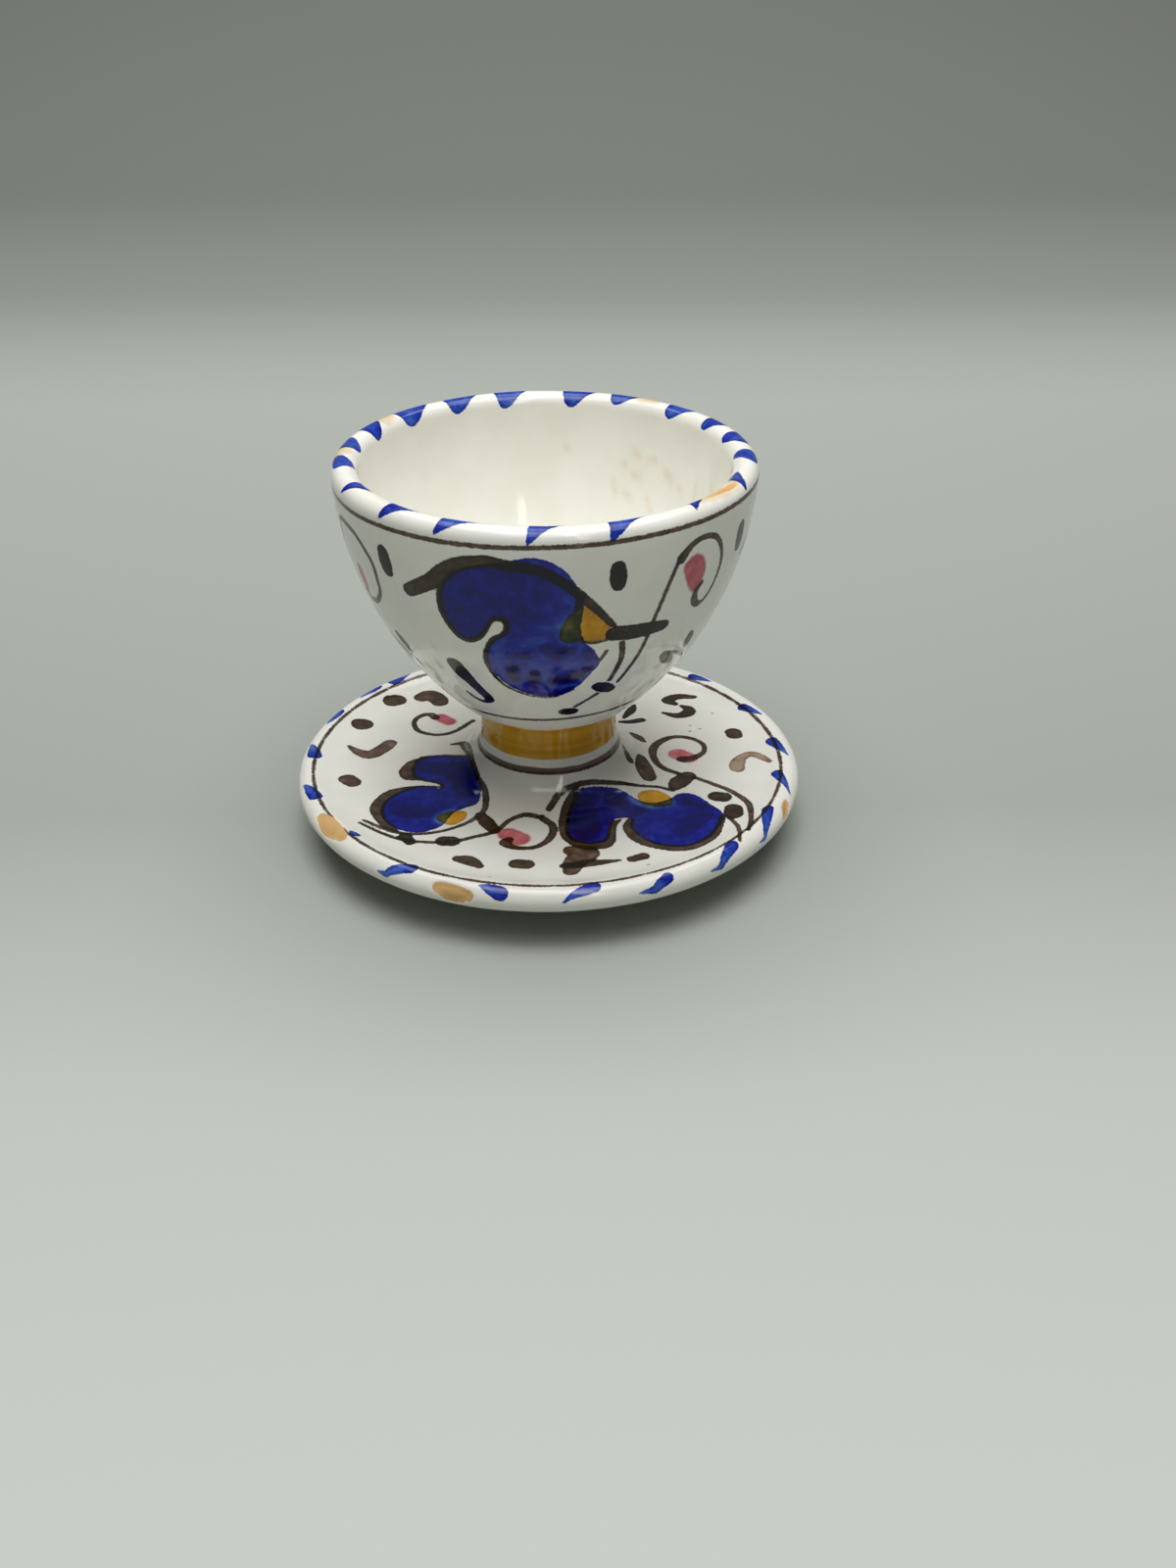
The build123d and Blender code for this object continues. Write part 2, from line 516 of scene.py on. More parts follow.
leaf_fills = [("cobalt", bowl_leaf, 0.64), ("ochre", bowl_tip, 0.65)]
leaf_washes = [
    ("cobalt", bowl_dark_wash, 0.24, 2.0),
    ("cobalt", bowl_tip_on_leaf, -0.2, 0.6),
    ("ochre", bowl_tip_on_leaf, -0.14, 0.6),
]
print("fills and washes of a leaf:", len(leaf_fills), len(leaf_washes))

# %% [markdown]
# Blue touches deepen the lower lobe, brown lines edge the leaf and make its stems, and brown dabs stand
# between the leaves. Each stroke starts with its load of pigment; each of its points is a turn, a height
# and half the width of the brush there.

# %% Strokes of the bowl's leaf
bowl_cobalt = [
    (0.42, [(-11, 34, 0.95), (-11.6, 32.2, 0.9)]),
    (0.42, [(-4.2, 33.3, 0.75), (-4.4, 31.9, 0.75)]),
    (0.4, [(2.4, 32, 1.0), (6.4, 32.2, 1.1), (9.7, 32.8, 0.85)]),
    (0.44, [(11.9, 33.7, 0.65), (13.5, 33.7, 0.55)]),
    (0.3, [(-11.1, 36.3, 0.65), (-6.2, 36.4, 0.65)]),
    (0.3, [(-0.3, 37.8, 0.9), (2.7, 36.9, 1.2), (6.3, 37, 0.9)]),
    (0.24, [(11.5, 36.6, 0.7), (13, 35.8, 0.7)]),
    (0.3, [(-6, 29.4, 0.4), (2, 29.2, 0.45), (8, 30.4, 0.35)]),
]
bowl_stems = [
    (0.76, [(-39.5, 43.9, 0.95), (-35, 45.1, 1.05), (-30.8, 46.3, 1.1), (-27.1, 47.9, 1.1),
            (-22.4, 49.3, 1.0), (-15.4, 50.1, 0.85), (-10.2, 49.8, 0.8), (-4.2, 49.5, 0.75),
            (0, 48.8, 0.75), (4.3, 47.4, 0.7), (7.9, 45.9, 0.7), (12.1, 43.9, 0.6),
            (18.1, 40.7, 0.45)]),
    (0.8, [(-24, 47.9, 0.2), (-28.5, 45.3, 0.35), (-29.6, 43, 0.4), (-28.8, 40.8, 0.4),
           (-26, 38.7, 0.45), (-22.5, 38.2, 0.45), (-18.5, 39.3, 0.4), (-15, 41.8, 0.35),
           (-12, 42.1, 0.45), (-10.9, 41, 0.45), (-12.5, 39.7, 0.4), (-15.5, 38.8, 0.4),
           (-18.3, 36.5, 0.4), (-18.9, 34.5, 0.35), (-17, 31.9, 0.3), (-13, 30.1, 0.25),
           (-6, 28.8, 0.2), (2, 28.6, 0.2), (9, 30, 0.18)]),
    (0.7, [(8.6, 45.5, 0.55), (7.6, 43.6, 0.35)]),
    (0.6, [(10, 38.5, 0.25), (14, 38.2, 0.25), (18, 38.6, 0.25)]),
    (0.9, [(19, 39.3, 1.25), (25, 39, 1.25), (31, 38.9, 1.1), (35, 38.8, 0.9)]),
    (0.6, [(22, 37.5, 0.45), (23, 35, 0.42), (22.5, 33, 0.38), (21.3, 30.9, 0.35)]),
    (0.55, [(36, 48.6, 0.4), (33.5, 45, 0.35), (31, 40.5, 0.35), (30, 37, 0.33), (28.5, 34, 0.33),
            (25, 30.2, 0.3)]),
    (0.5, [(17.5, 36.6, 0.3), (16, 35, 0.3)]),
    (0.95, [(17.4, 30.1, 0.85), (20, 29.6, 1.1), (22.8, 29, 0.85)]),
    (0.55, [(18.5, 28.4, 0.35), (15, 27.3, 0.3), (11, 26.1, 0.35)]),
    (0.95, [(7.6, 25, 1.05), (9.6, 24.9, 1.05)]),
    (0.7, [(41, 33, 0.7), (44, 32, 1.0), (47.5, 31, 0.6)]),
    (0.7, [(51.5, 34.8, 0.6), (52.6, 33.7, 0.95), (53.5, 32.6, 0.5)]),
    (0.45, [(42, 33.3, 0.3), (50, 31.9, 0.3), (57, 30.3, 0.25)]),
]
bowl_dabs = [
    (0.9, [(-46.6, 48.2, 1.05), (-46.4, 46.9, 1.2), (-46.2, 45.8, 1.0)]),
    (0.95, [(18, 48.9, 1.0), (18.2, 47.7, 1.15), (18.4, 46.6, 0.95)]),
    (0.95, [(-31.2, 33.1, 1.25), (-29.8, 31.7, 1.3), (-27.7, 30.2, 1.0), (-25.7, 28.7, 0.9),
            (-24.2, 27.5, 0.85), (-24.2, 26.7, 0.6), (-27.3, 26.1, 0.45), (-30.4, 26.5, 0.42),
            (-32.2, 27.2, 0.35), (-32.8, 27.7, 0.25)]),
]
print("strokes of a leaf:", len(bowl_cobalt) + len(bowl_stems), "and dabs:", len(bowl_dabs))

# %% [markdown]
# The same hand painted the leaf again further round, so one set of marks is laid down three times,
# each time a little higher or lower. The back was never seen, so its marks are a guess from the front.

# %% Leaves round the bowl
leaf_places = [(0, 0), (110, 0.2), (252.5, -0.3)]
spare_dabs_place = (216, 0.4)


def shifted(points, turn, lift):
    """Marks moved round the wall and up or down it."""
    return [(point[0] + turn, point[1] + lift, *point[2:]) for point in points]


for turn, lift in leaf_places:
    for pigment, outline, load in leaf_fills:
        fill(bowl_canvas, pigment, on_wall, shifted(outline, turn, lift), load)
    for pigment, outline, load, border in leaf_washes:
        wash(bowl_canvas, pigment, on_wall, shifted(outline, turn, lift), load, border)
    for load, points in bowl_cobalt:
        stroke(bowl_canvas, "cobalt", on_wall, shifted(points, turn, lift), load)
    for load, points in bowl_stems + bowl_dabs:
        stroke(bowl_canvas, "manganese", on_wall, shifted(points, turn, lift), load)
for load, points in bowl_dabs:
    stroke(bowl_canvas, "manganese", on_wall, shifted(points, *spare_dabs_place), load)
print("leaves on the bowl:", len(leaf_places))

# %% [markdown]
# Thin brown scrolls stand between the leaves, and each curls round a rose bud.
# The two that flank the front leaf differ, so each has its own points; the one at the back repeats
# the right one.

# %% Scrolls and buds on the bowl
right_scroll = [
    (36.5, 48.3, 0.8), (40, 49.8, 0.5), (44.5, 50.2, 0.42), (49, 49.5, 0.4), (52.5, 47.5, 0.38),
    (54, 45, 0.36), (53, 42.3, 0.34), (50.5, 40.6, 0.35), (47.5, 40.2, 0.5), (45, 41.2, 0.6),
    (44.8, 42.6, 0.5), (46.5, 43.5, 0.4),
]
right_bud = [
    (37.8, 46.6), (39.5, 47.9), (42.3, 48.2), (45.3, 47.2), (46.7, 45.3), (45.8, 43.3), (44.3, 42.4),
    (41, 43.6),
]
left_scroll = [
    (-72, 48.6, 0.3), (-69, 49.2, 0.42), (-60.7, 48.8, 0.42), (-56.1, 47.4, 0.4), (-53.1, 45.6, 0.4),
    (-53, 43.2, 0.38), (-54, 41.3, 0.36), (-58.2, 39.4, 0.4), (-63.4, 38.7, 0.5), (-65.5, 39.6, 0.5),
]
left_bud = [(-64.5, 43.8), (-62.6, 43.6), (-61.6, 42.1), (-62.6, 40.2), (-65, 39.8), (-66, 42)]
back_scroll_turn = 112
scroll_load = 0.62
bud_load = 0.75
scrolls = [
    (right_scroll, right_bud), (left_scroll, left_bud),
    (shifted(right_scroll, back_scroll_turn, 0), shifted(right_bud, back_scroll_turn, 0)),
]
for scroll, bud in scrolls:
    stroke(bowl_canvas, "manganese", on_wall, scroll, scroll_load)
    fill(bowl_canvas, "rose", on_wall, bud, bud_load)
print("scrolls on the bowl:", len(scrolls))

# %% [markdown]
# Brown lines ring the bowl below the lip and above the foot; they were drawn while the cup turned
# on a whirler. The hand was not quite still, so the height of a line wanders between a few known turns.

# %% Rings round the bowl
ring_step = 15.0
ring_load = 0.54
rim_ring = [
    (-180, 52.0), (-120, 51.8), (-60, 51.7), (-20, 52.0), (0, 52.25), (30, 52.5), (70, 52.5),
    (120, 52.3),
]
low_ring = [(-180, 23.2), (-120, 22.8), (-40, 22.6), (0, 22.95), (40, 23.4), (100, 23.5), (140, 23.4)]
bowl_rings = [(rim_ring, 0.34), (low_ring, 0.44)]
for ring, width in bowl_rings:
    known_turns, known_heights = zip(*ring)
    turns = np.arange(-180, 180 + ring_step, ring_step)
    heights = np.interp(turns, known_turns, known_heights, period=360)
    points = np.stack([turns, heights, np.full_like(turns, width)], axis=1)
    stroke(bowl_canvas, "manganese", on_wall, points, ring_load)
print("rings round the bowl:", len(bowl_rings))

# %% [markdown]
# The blue dashes were flicked over the lip from outside to inside: each starts at a point and ends
# in a point. A dash is drawn once as turn and roll about its middle, in one shape for the front and one
# for the back, and then laid down at its own turn and size.

# %% Dashes on the rim of the bowl
front_dash = [
    (-4.8, 12), (-2.2, 40), (0.8, 75), (5, 106), (6.4, 116), (4, 132), (0, 148), (-3.2, 138),
    (-4.2, 110), (-4.6, 60),
]
back_dash = [
    (-4.5, 40), (0, 30), (4.4, 45), (4.9, 80), (4.6, 120), (4, 148), (2.4, 160), (0.4, 148),
    (-1.8, 118), (-4.2, 84),
]
front_reach = 75
dash_load = 0.54
lean_step = 0.12
lean_kinds = 3
load_step = 0.03
load_kinds = 4
middle_roll = 90
rim_dashes = [
    (-169.5, 1.3), (-153, 1.25), (-135, 1.3), (-116, 1.2), (-100.5, 0.95), (-85, 0.9), (-62.5, 0.95),
    (-41.5, 1.05), (-23, 1.05), (0, 1.15), (21.5, 1.2), (44.5, 0.5), (68, 0.9), (87, 0.95), (102, 0.95),
    (116.5, 1.0), (132.5, 1.1), (153.5, 0.9), (168.5, 1.3),
]
for index, (turn, size) in enumerate(rim_dashes):
    lean = 1 + lean_step * (index % lean_kinds - 1)
    outline = front_dash if abs(turn) < front_reach else back_dash
    points = [
        (turn + along * size * lean, middle_roll + (roll - middle_roll) * size) for along, roll in outline
    ]
    fill(bowl_canvas, "cobalt", on_lip, points, dash_load + load_step * (index % load_kinds))
print("rim dashes:", len(rim_dashes))

# %% [markdown]
# Where the lip is worn, the white has gone warm, and one knock has laid the clay bare.
# Inside the bowl a few faint blotches were left by egg. All of them are short soft strokes.

# %% Wear of the bowl
chip_load = 1.0
wear_load = 0.62
lip_chip = [(50, 112, 0.4), (54, 108, 0.8), (59, 92, 0.75), (63, 78, 0.4)]
stroke(bowl_canvas, "chip", on_lip, lip_chip, chip_load)
lip_wear = [
    [(-97, 70, 0.9), (-93, 80, 1.1), (-90, 60, 0.8)], [(-125, 95, 0.7), (-122, 100, 0.9)],
    [(143, 85, 0.6), (147, 90, 0.9), (151, 80, 0.6)], [(46, 95, 0.6), (56, 98, 1.3), (66, 85, 0.7)],
]
for points in lip_wear:
    stroke(bowl_canvas, "stain", on_lip, points, wear_load)
inside_stains = [
    (0.24, [(150, 47.5, 0.3), (146, 47, 0.5)]), (0.28, [(143, 46, 0.4), (139, 46.6, 0.3)]),
    (0.24, [(134, 45.6, 0.3), (130, 44.5, 0.5)]), (0.2, [(126, 44, 0.3), (123, 43, 0.2)]),
    (0.2, [(118, 46, 0.1), (116, 42.5, 0.2)]), (0.16, [(108, 47, 0.1), (105, 44, 0.2)]),
    (0.16, [(174, 47.5, 0.1), (172, 46.5, 0.2)]), (0.26, [(152, 45.8, 0.2), (150, 44.5, 0.35)]),
    (0.26, [(147, 44, 0.35), (143, 43.2, 0.3)]), (0.24, [(150, 41.5, 0.2), (146, 40.5, 0.35)]),
    (0.2, [(140, 41.5, 0.2), (137, 40, 0.25)]), (0.16, [(155, 43, 0.1), (153, 41, 0.2)]),
]
for load, points in inside_stains:
    stroke(bowl_canvas, "stain", on_inside, points, load)
bowl_canvas.store()
print("worn places on the lip:", len(lip_wear), "stains:", len(inside_stains))

# %% [markdown]
# The saucer carries the same leaves, seen from above. The brown was laid first, so it shows as a dark rim
# where the blue covers it and as a brown crescent where the blue falls short.
# Where the ochre tip was laid over the blue, the two make an olive green.

# %% Outlines of the saucer's leaves
left_leaf = [
    (-19.2, 0.8), (-18.2, 1.6), (-15.2, 2.1), (-12, -0.4), (-10.9, -3.3), (-10.3, -5.8), (-9.5, -7.7),
    (-9.5, -9.4), (-10, -11.6), (-11.5, -12.6), (-12.9, -13.7), (-13.7, -15.2), (-14.4, -17),
    (-15.6, -18.1), (-17.3, -18.9), (-19.3, -18.6), (-21.4, -17.1), (-22.8, -14.7), (-23.2, -12.4),
    (-22.6, -10.1), (-21, -8.1), (-18.8, -6.7), (-16.7, -6.5), (-15.5, -7.2), (-15.2, -6.4),
    (-16.2, -5.4), (-18.4, -4.7), (-19.2, -4.1), (-19.6, -1.6),
]
left_crescents = [
    [(-16.8, 2.2), (-19.5, 1.1), (-20.8, -0.4), (-21.4, -2.7), (-20.5, -4.6), (-18.3, -5), (-16.2, -5.5),
     (-18.3, -4), (-18.9, -3), (-19, -1), (-18.6, 0.4)],
    [(-17.6, -6.3), (-21.3, -7), (-23.2, -8.3), (-24.3, -10.4), (-24.7, -12.6), (-24, -14.9),
     (-22.5, -17.2), (-20.4, -18.7), (-20.6, -17.6), (-22.1, -15.2), (-22.6, -12.5), (-22.1, -10.4),
     (-20.7, -8.5), (-18.8, -7.2)],
]
right_leaf = [
    (3.8, -11), (7.4, -9.6), (9.8, -9.1), (11.3, -10.1), (12.8, -11.6), (14.6, -11.9), (16.5, -11),
    (18.1, -9.5), (20.2, -9.8), (22.1, -12.4), (23.7, -15.2), (22.7, -18.6), (21, -21.5), (18.6, -23.1),
    (15.9, -23.3), (13.2, -22.1), (11.5, -19.9), (10.7, -18), (11, -16.1), (9, -16.1), (8.3, -17.9),
    (7.9, -21), (6.9, -22.1), (4.8, -22.3), (2.7, -21.1), (2, -18.7), (2.4, -14.5), (3.2, -12.1),
]
right_crescents = [
    [(3.9, -10.6), (2.5, -11.8), (1.5, -13.9), (1.1, -17.2), (1.4, -20.3), (2.9, -22.7), (5.2, -23.7),
     (7.6, -23.4), (8.7, -21.7), (9, -18), (9.8, -16.2), (8.5, -16.6), (7.8, -18.2), (7.3, -20.8),
     (6.6, -21.6), (4.8, -21.8), (3.2, -20.8), (2.6, -18.5), (3, -14.6), (3.9, -12)],
    [(10.7, -15.9), (9.8, -17.9), (10.1, -20), (11.2, -22), (13.3, -23.5), (16.1, -24.4), (18.9, -24.3),
     (21.1, -22.8), (22.7, -20.5), (23.9, -16), (23.2, -15.6), (22.2, -18.4), (20.6, -21.1), (18.4, -22.6),
     (15.9, -22.8), (13.4, -21.7), (11.9, -19.7), (11.2, -17.9), (11.5, -16.2)],
]
left_tip = [
    (-15, -14.2), (-13.4, -13.3), (-11.4, -13.8), (-11.5, -15.6), (-13, -17.1), (-14.5, -16.6),
    (-15.4, -15.4),
]
left_olive = [(-15.4, -14.2), (-13.4, -12.9), (-12.4, -13.7), (-13.2, -15.4), (-14, -17.2), (-15.8, -16.2)]
right_tip = [
    (12.6, -9.1), (14.2, -8.4), (15.9, -9.3), (17, -11), (16.6, -12.7), (14.8, -13.1), (13, -12.5),
    (12.2, -10.6),
]
right_olive = [
    (10.9, -9.2), (12.9, -10.3), (14.3, -11.5), (17, -11), (16.6, -13), (13.9, -13.5), (11.3, -12.3),
]
print("points of the left and right leaf:", len(left_leaf), len(right_leaf))

# %% [markdown]
# Second touches of blue deepen the leaves, and thin brown stems run along them and on to the scrolls.

# %% Strokes of the saucer's leaves
left_cobalt = [
    (0.16, [(-17.5, -1, 1.6), (-13.5, -3, 1.9), (-11.6, -8.5, 1.3)]),
    (0.18, [(-21, -11.5, 1.3), (-19.5, -13, 2.0), (-17, -13.4, 1.5)]),
]
right_cobalt = [
    (0.2, [(4.8, -12.6, 1.5), (4.8, -17, 2.0), (5, -20, 1.6)]),
    (0.14, [(9, -11.5, 1.4), (12, -14, 1.2)]),
    (0.16, [(19.5, -12, 1.6), (20.5, -15, 1.8), (17.5, -19.5, 1.2)]),
]
left_stems = [
    (0.72, [(-14.2, 5.4, 0.3), (-12.7, 5, 0.6), (-11.9, 2, 0.65), (-11.3, -0.8, 0.55), (-10.8, -3.6, 0.45),
            (-10, -6.6, 0.4)]),
    (0.6, [(-25.2, -15.5, 0.28), (-22.6, -17.5, 0.33), (-20, -18.9, 0.36), (-17, -19.2, 0.34),
           (-14, -18.4, 0.33), (-11.6, -16.9, 0.35), (-10.1, -15.3, 0.38), (-9, -13.3, 0.42),
           (-8.8, -10.7, 0.5), (-9.2, -8.6, 0.45), (-10.1, -6.6, 0.35)]),
    (0.7, [(-18.4, 1.7, 0.25), (-15.2, 2.1, 0.3), (-13.3, 0.9, 0.3), (-11.6, -1.2, 0.3)]),
    (0.7, [(-17.5, -5, 0.25), (-15.6, -5.8, 0.25), (-15, -6.8, 0.25), (-16.4, -6.7, 0.25),
           (-18.6, -6.6, 0.25)]),
]
right_stems = [
    (0.68, [(-0.1, -13.8, 0.5), (1.4, -11.7, 0.48), (3.8, -10.5, 0.42), (7.2, -9.1, 0.4),
            (10.9, -7.7, 0.38), (14.6, -7.5, 0.35), (17.2, -8.6, 0.4)]),
]
print("stems of the left and right leaf:", len(left_stems), len(right_stems))

# %% [markdown]
# A leaf is laid down part by part. A third leaf lies behind the cup where it was never seen,
# so it is the right-hand leaf turned round the foot.

# %% Leaves round the saucer
blue_load = 0.78
ochre_load = 0.5
olive_load = -0.36
olive_border = 0.5
crescent_load = 0.7
right_leaf_turns = (0, 148)


def turned_round(points, turn):
    """Marks turned about the middle of the saucer, in degrees."""
    cos = math.cos(math.radians(turn))
    sin = math.sin(math.radians(turn))
    return [(x * cos - y * sin, x * sin + y * cos, *rest) for x, y, *rest in points]


def saucer_leaf(turn, leaf, crescents, tip, olive, cobalt, stems):
    """One leaf with all its colours and stems; the blue is thin where the ochre covers it."""
    fill(saucer_canvas, "cobalt", on_saucer, turned_round(leaf, turn), blue_load)
    fill(saucer_canvas, "ochre", on_saucer, turned_round(tip, turn), ochre_load)
    wash(saucer_canvas, "cobalt", on_saucer, turned_round(olive, turn), olive_load, olive_border)
    for points in crescents:
        fill(saucer_canvas, "manganese", on_saucer, turned_round(points, turn), crescent_load)
    for load, points in cobalt:
        stroke(saucer_canvas, "cobalt", on_saucer, turned_round(points, turn), load)
    for load, points in stems:
        stroke(saucer_canvas, "manganese", on_saucer, turned_round(points, turn), load)


saucer_leaf(0, left_leaf, left_crescents, left_tip, left_olive, left_cobalt, left_stems)
for turn in right_leaf_turns:
    saucer_leaf(turn, right_leaf, right_crescents, right_tip, right_olive, right_cobalt, right_stems)
print("leaves on the saucer:", 1 + len(right_leaf_turns))

# %% [markdown]
# Thin scrolls link the leaves and curl round rose buds. Some carry a knot, where the brush was pressed
# down for a moment.

# %% Scrolls and buds on the saucer
saucer_scrolls = [
    (0.65, [(-25.7, -16.3, 0.3), (-22, -19.2, 0.33), (-19, -20.8, 0.35), (-14, -21.5, 0.35),
            (-10.5, -20.3, 0.38), (-7.3, -18.8, 0.42), (-5.5, -16.1, 0.42), (-3.5, -14.8, 0.5),
            (-1.5, -15.3, 0.5)]),
    (0.65, [(-1.2, -15.4, 0.6), (0.4, -17.8, 0.6), (-0.1, -20.9, 0.55), (-2, -22.9, 0.45), (-4.5, -23, 0.5),
            (-6, -21.8, 0.8), (-5.4, -20.9, 0.6)]),
    (0.8, [(-19.4, -19.8, 0.9), (-18.6, -21.2, 0.8)]),
    (0.8, [(-14.1, -21.1, 1.2), (-13.1, -21.2, 1.2)]),
    (0.8, [(-9.4, -14.6, 0.8), (-8.5, -16.6, 1.1), (-7.4, -18.7, 0.8)]),
    (0.72, [(19.6, -4.6, 1.2), (18.3, -6.3, 1.45), (17.6, -7.6, 1.0)]),
    (0.6, [(20.5, -5, 0.4), (23, -7, 0.42), (25.5, -9.3, 0.45), (27.3, -12.5, 0.48), (27.2, -17, 0.4),
           (26.4, -21, 0.35)]),
    (0.55, [(24.3, -16, 0.3), (25.2, -19, 0.33), (25, -23.6, 0.28)]),
    (0.8, [(23.2, -10.4, 1.3), (24, -10.6, 1.3)]),
    (0.8, [(25.2, -13.8, 1.3), (25, -15.2, 1.4)]),
    (0.65, [(19.2, 0.2, 0.9), (20.7, 0.5, 0.7), (22.4, 2.2, 0.42), (22.5, 4.5, 0.4), (21, 6.3, 0.45),
            (18.5, 6.9, 0.5), (16.2, 5.4, 0.65), (15.1, 3, 0.65), (15.2, 0, 0.55), (16.3, -2.3, 0.5),
            (18.3, -3.9, 0.45)]),
    (0.65, [(-17, 13.9, 0.7), (-17.8, 14.9, 0.6), (-19, 14.7, 0.5), (-20, 13.3, 0.42), (-20, 11.3, 0.42),
            (-19, 9.5, 0.42), (-16.5, 8.5, 0.42), (-14, 9.5, 0.42), (-11.3, 12.8, 0.4)]),
]
saucer_buds = [
    (0.7, [(-5.6, -19.6, 1.5), (-4.2, -20.8, 1.6)]),
    (0.65, [(18.7, 1.7, 1.5), (19.9, 0.6, 1.5)]),
    (0.75, [(-16.3, 14, 1.1), (-14.9, 12.6, 1.1)]),
]
for load, points in saucer_scrolls:
    stroke(saucer_canvas, "manganese", on_saucer, points, load)
for load, points in saucer_buds:
    stroke(saucer_canvas, "rose", on_saucer, points, load)
print("scrolls and buds:", len(saucer_scrolls), len(saucer_buds))

# %% [markdown]
# Dabs of brown fill what is left of the white. A dab is just a very short stroke, so dabs, scrolls
# and stems all go through the same brush.

# %% Dabs on the saucer
saucer_dabs = [
    (0.68, [(-23.9, 19.1, 1.45), (-23.1, 19.5, 1.45)]),
    (0.66, [(-19.3, 20.6, 1.4), (-18.2, 21.3, 1.6), (-16.9, 19.8, 1.5), (-16.6, 18.9, 1.3)]),
    (0.7, [(-28, 11.8, 1.5), (-27.6, 11.9, 1.5)]),
    (0.55, [(-29.2, 5.3, 0.3), (-27.6, 3.5, 0.8), (-25.8, 2.7, 1.2), (-24.2, 4.4, 1.2), (-23.3, 6, 1.1)]),
    (0.64, [(-28.5, -4.3, 1.3), (-27.6, -5.3, 1.2)]),
    (0.72, [(-12.2, -25.4, 0.7), (-10.6, -26, 1.1), (-9.2, -27.3, 0.6)]),
    (0.72, [(-4.4, -26.9, 1.1), (-3.1, -27.1, 1.1)]),
    (0.7, [(27.3, 8.1, 1.25), (27.4, 7.3, 1.25)]),
    (0.32, [(31.6, -1.6, 0.35), (30.5, 0.3, 0.6), (29.3, 1.4, 0.75), (27.9, 0.6, 0.8), (27, -1.2, 1.1),
            (26.8, -2.6, 1.1)]),
    (0.78, [(22.4, 19.5, 0.5), (20, 19.8, 0.9), (18.3, 18.6, 1.0), (19.4, 17.3, 0.5)]),
    (0.8, [(20.3, 16.7, 0.4), (21.3, 15.6, 0.9), (21, 14.3, 1.05), (19.4, 13.5, 0.8), (17.3, 14.5, 0.35)]),
    (0.9, [(13.1, 17.2, 0.3), (12.5, 15.4, 0.75), (11.4, 13.2, 0.4)]),
    (0.85, [(13.9, 12.3, 0.7), (12.3, 11.8, 0.6), (10.8, 11.8, 0.4)]),
    (0.6, [(12.2, 8, 0.35), (13.1, 6.8, 0.75), (13.9, 5.6, 0.4)]),
    (0.55, [(10.7, -0.9, 0.55), (11.5, -2.5, 0.75)]),
    (0.68, [(13.3, -0.2, 0.8), (13.5, -2.8, 1.4), (14, -4.9, 1.2)]),
    (0.6, [(2.8, -23.9, 1.2), (5, -24.6, 1.5), (3.4, -26.3, 1.6), (2.6, -28.8, 1.1)]),
    (0.68, [(1.6, -27.6, 0.5), (5, -27.1, 0.8), (9.1, -26.4, 0.25)]),
    (0.75, [(10.6, -26.2, 0.7), (12.2, -25.5, 0.85)]),
]
for load, points in saucer_dabs:
    stroke(saucer_canvas, "manganese", on_saucer, points, load)
print("dabs:", len(saucer_dabs))

# %% [markdown]
# A brown ring keeps the painting in, and another closes the foot. Blue dashes cross the lip outside them:
# each is pointed outside, where the brush first touched, and broad and dark where it was lifted.
# A ring has a middle, a radius, half a width and a load; a dash has two ends and a size.

# %% Rings and dashes of the saucer
saucer_rings = [((-0.2, -0.6), 33.2, 0.3, 0.55), ((0, 0), 10.0, 0.48, 0.66)]
for middle, radius, width, load in saucer_rings:
    turns = np.radians(np.arange(0, 360, ring_step))
    across = middle[0] + radius * np.cos(turns)
    away = middle[1] + radius * np.sin(turns)
    points = np.stack([across, away, np.full_like(turns, width)], axis=1)
    stroke(saucer_canvas, "manganese", on_saucer, points, load, closed=True)

edge_dashes = [
    ((-28.7, 18.8), (-26.7, 22.2), 1.4), ((-32.8, 10.5), (-31.7, 14.2), 1.4),
    ((-34.6, 4.5), (-33.6, 1), 1.4), ((-34.3, -7), (-32.2, -10.6), 1.3),
    ((-26.6, -19.6), (-25.8, -20.6), 0.9), ((-23, -28.3), (-17.8, -29.2), 1.1),
    ((-9, -33.3), (-6.4, -34.6), 1.3), ((1.5, -35.7), (5.5, -34), 1.1),
    ((11.5, -34.6), (15, -31.7), 1.0), ((21.3, -29.6), (24, -24.6), 1.1),
    ((28.5, -22.6), (29.6, -15.6), 1.1), ((33.3, -11.2), (32, -5.4), 1.0), ((34.3, -1), (32.4, 4), 1.1),
    ((32, 11.5), (29.3, 14.6), 1.0), ((25.4, 22.6), (22.6, 24.6), 1.0),
    ((17.5, 29.4), (14.2, 30.2), 1.1), ((8.5, 33.2), (5, 33), 1.2), ((-1.5, 34), (-5, 33.2), 1.0),
    ((-12.2, 32), (-15.6, 29.8), 1.1), ((-21.5, 27), (-24, 24), 1.2),
]
dash_widths = [0.12, 0.42, 0.68, 0.8]
dash_start_load = 0.32
dash_end_load = 0.64
for outer, inner, size in edge_dashes:
    shares = np.linspace(0, 1, len(dash_widths))
    points = [
        (outer[0] + (inner[0] - outer[0]) * share, outer[1] + (inner[1] - outer[1]) * share, width * size)
        for share, width in zip(shares, dash_widths)
    ]
    stroke(saucer_canvas, "cobalt", on_saucer, points, dash_start_load, dash_end_load)
print("rings and dashes:", len(saucer_rings), len(edge_dashes))

# %% [markdown]
# Three places on the edge were knocked, so the glaze is gone and the buff clay shows.
# A few dark specks of iron came out of the clay in the kiln.

